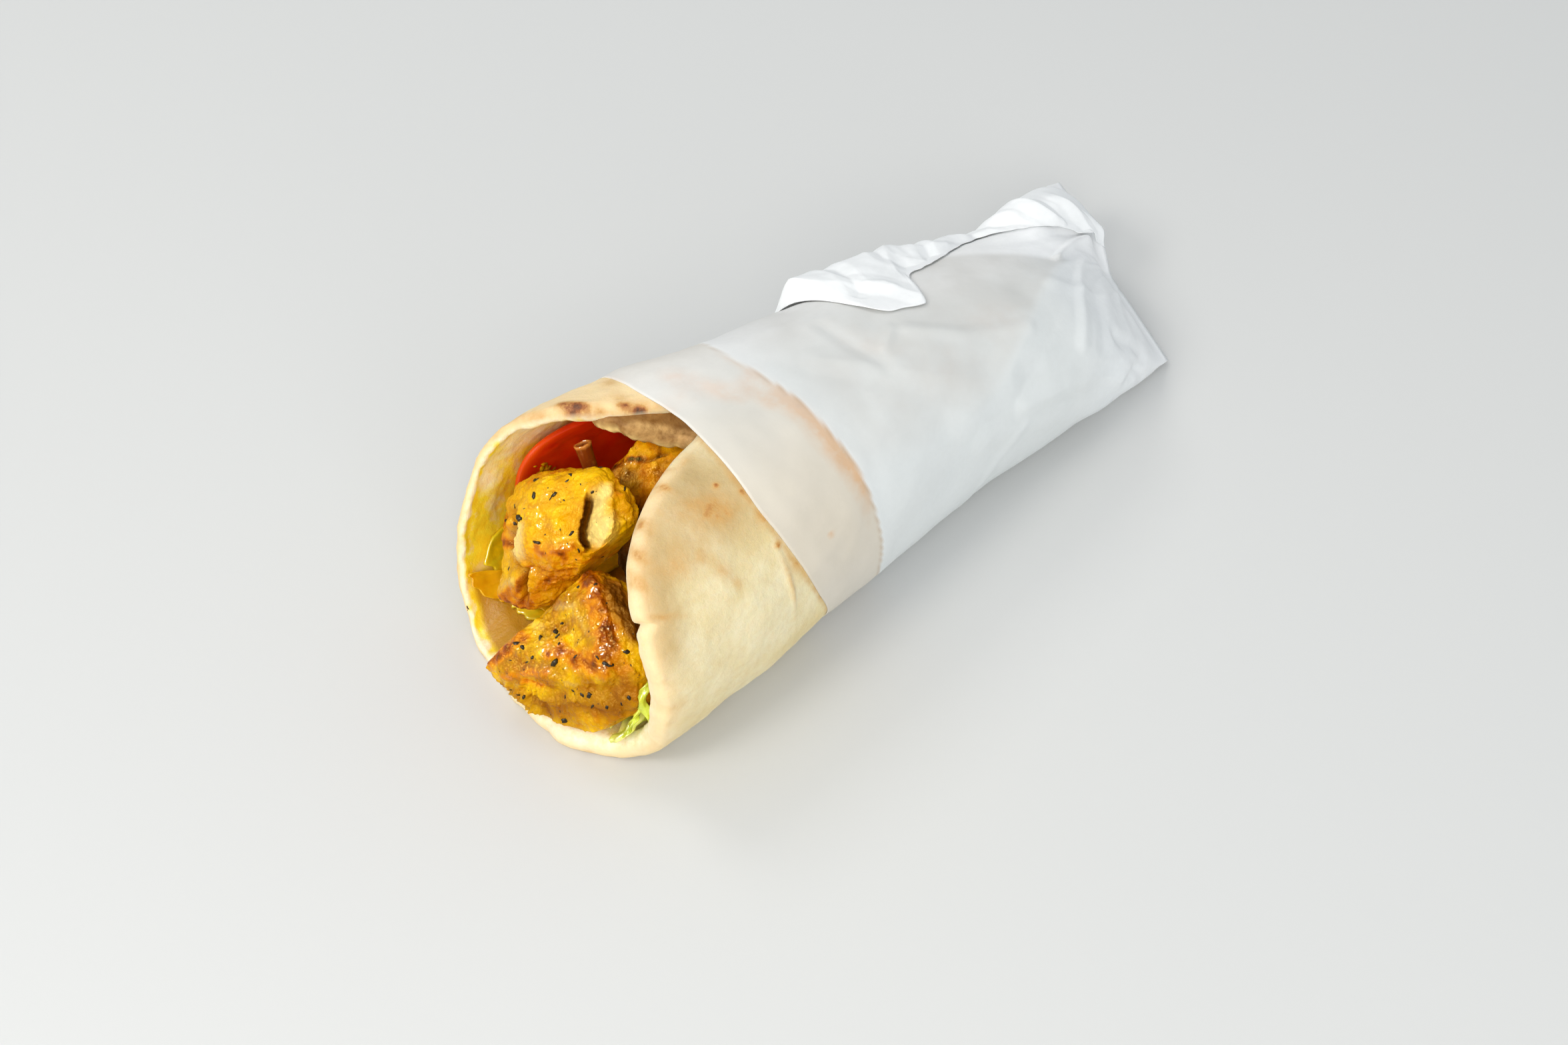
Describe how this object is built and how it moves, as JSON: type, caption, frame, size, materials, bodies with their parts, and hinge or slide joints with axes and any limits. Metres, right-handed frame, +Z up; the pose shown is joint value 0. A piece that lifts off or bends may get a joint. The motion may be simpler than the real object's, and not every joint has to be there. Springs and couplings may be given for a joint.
{
  "type": "souvlaki wrap",
  "caption": "Rolled flat bread filled with grilled chicken, tomato, onion and lettuce, in a plain paper bag pressed flat at the tail.",
  "frame": {"origin": "under the middle of the wrap, on the surface it lies on", "axes": "+X along the roll from the open mouth to the flattened tail, +Z up, so the near side faces -Y"},
  "size_m": [0.1968, 0.076, 0.0556],
  "materials": {
    "pita": "matt",
    "paper": "matt",
    "chicken_core": "moist",
    "chicken_upper": "moist",
    "chicken_lower": "moist",
    "tomato": "moist",
    "onion_tube": "moist",
    "lettuce_left": "moist",
    "onion_petal": "moist",
    "lettuce_right": "moist"
  },
  "bodies": {
    "root": {"pita": "pita", "paper": "paper", "chicken_core": "chicken_core", "chicken_upper": "chicken_upper", "chicken_lower": "chicken_lower", "tomato": "tomato", "onion_tube": "onion_tube", "lettuce_left": "lettuce_left", "onion_petal": "onion_petal", "lettuce_right": "lettuce_right"}
  },
  "joints": []
}
